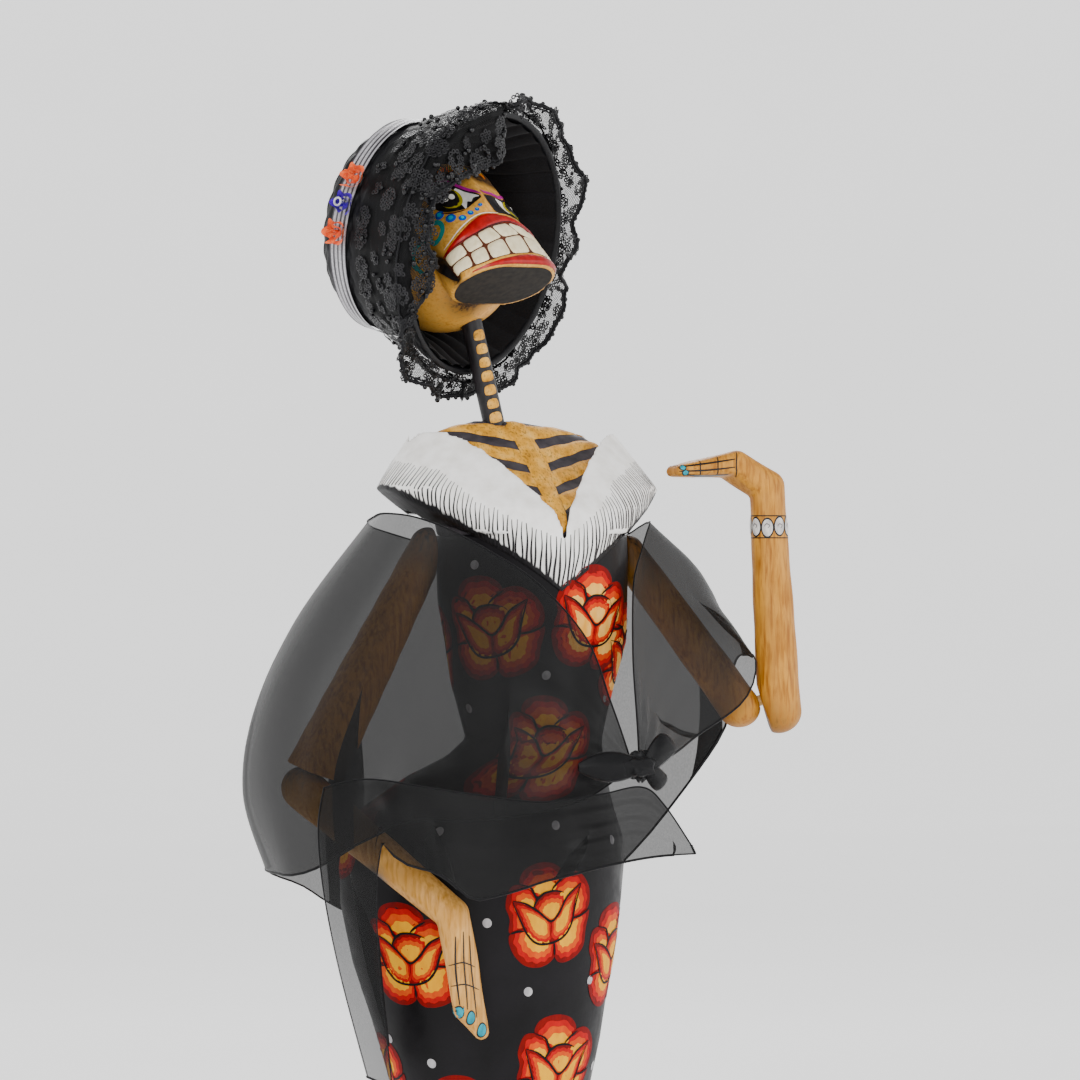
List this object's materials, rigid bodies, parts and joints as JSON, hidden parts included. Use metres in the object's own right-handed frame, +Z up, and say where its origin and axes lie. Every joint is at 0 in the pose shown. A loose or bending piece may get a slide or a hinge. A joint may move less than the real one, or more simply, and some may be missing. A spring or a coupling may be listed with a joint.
{
  "type": "papier-mache catrina figure",
  "caption": "Standing skeleton lady figure in a painted dress, with lace hat, V collar, pegged arms and a knotted sheer shawl, on a round base.",
  "frame": {"origin": "centre of the underside of the round base", "axes": "+Z up, -Y the way the figure's front faces, +X the figure's left side"},
  "size_m": [0.2553, 0.175, 0.6028],
  "materials": {
    "base_wood": "painted",
    "raw_wood": "satin",
    "screw_steel": "satin",
    "dress_paint": "satin",
    "bone_paint": "satin",
    "collar_paint": "satin",
    "neck_paint": "satin",
    "skull_paint": "satin",
    "arm_paint": "satin",
    "straw": "matte",
    "lining": "matte",
    "lace": "satin",
    "band_organza": "satin",
    "coral_ribbon": "satin",
    "purple_ribbon": "satin",
    "organza": "satin"
  },
  "bodies": {
    "figure": {"base_disc": "base_wood", "base_screws": "screw_steel", "skirt_plug": "raw_wood", "hip_plug": "raw_wood", "core_post": "raw_wood", "dress_body": "dress_paint", "chest": "bone_paint", "collar": "collar_paint", "neck_rod": "neck_paint", "right_upper_arm": "arm_paint", "right_shoulder_peg": "raw_wood", "right_elbow_peg": "raw_wood", "left_upper_arm": "arm_paint", "left_shoulder_peg": "raw_wood", "left_elbow_peg": "raw_wood", "shawl_wrap": "organza", "shawl_tails": "organza", "shawl_knot": "organza"},
    "head": {"skull": "skull_paint"},
    "hat": {"straw_hat": "straw", "hat_lining": "lining", "hat_lace": "lace", "lace_cover": "lace", "hat_band": "band_organza", "coral_roses": "coral_ribbon", "purple_rose": "purple_ribbon"},
    "right_forearm": {"right_forearm": "arm_paint"},
    "left_forearm": {"left_forearm": "arm_paint"}
  },
  "joints": [
    {"name": "head_turn", "type": "hinge", "parent": "figure", "child": "head", "pos_m": [0.0084, 0.0186, 0.432], "axis": [-0.2025, 0.0814, 0.9759], "range_deg": [-35, 35]},
    {"name": "hat_lift", "type": "slide", "parent": "head", "child": "hat", "axis": [-0.561, 0.8013, 0.2079], "range_m": [0, 0.07]},
    {"name": "right_elbow", "type": "hinge", "parent": "figure", "child": "right_forearm", "pos_m": [-0.093, -0.014, 0.294], "axis": [-0.334, 0.135, -0.9329], "range_deg": [0, 10]},
    {"name": "left_elbow", "type": "hinge", "parent": "figure", "child": "left_forearm", "pos_m": [0.1195, -0.0205, 0.323], "axis": [0.8801, -0.357, 0.313], "range_deg": [-30, 30]}
  ]
}
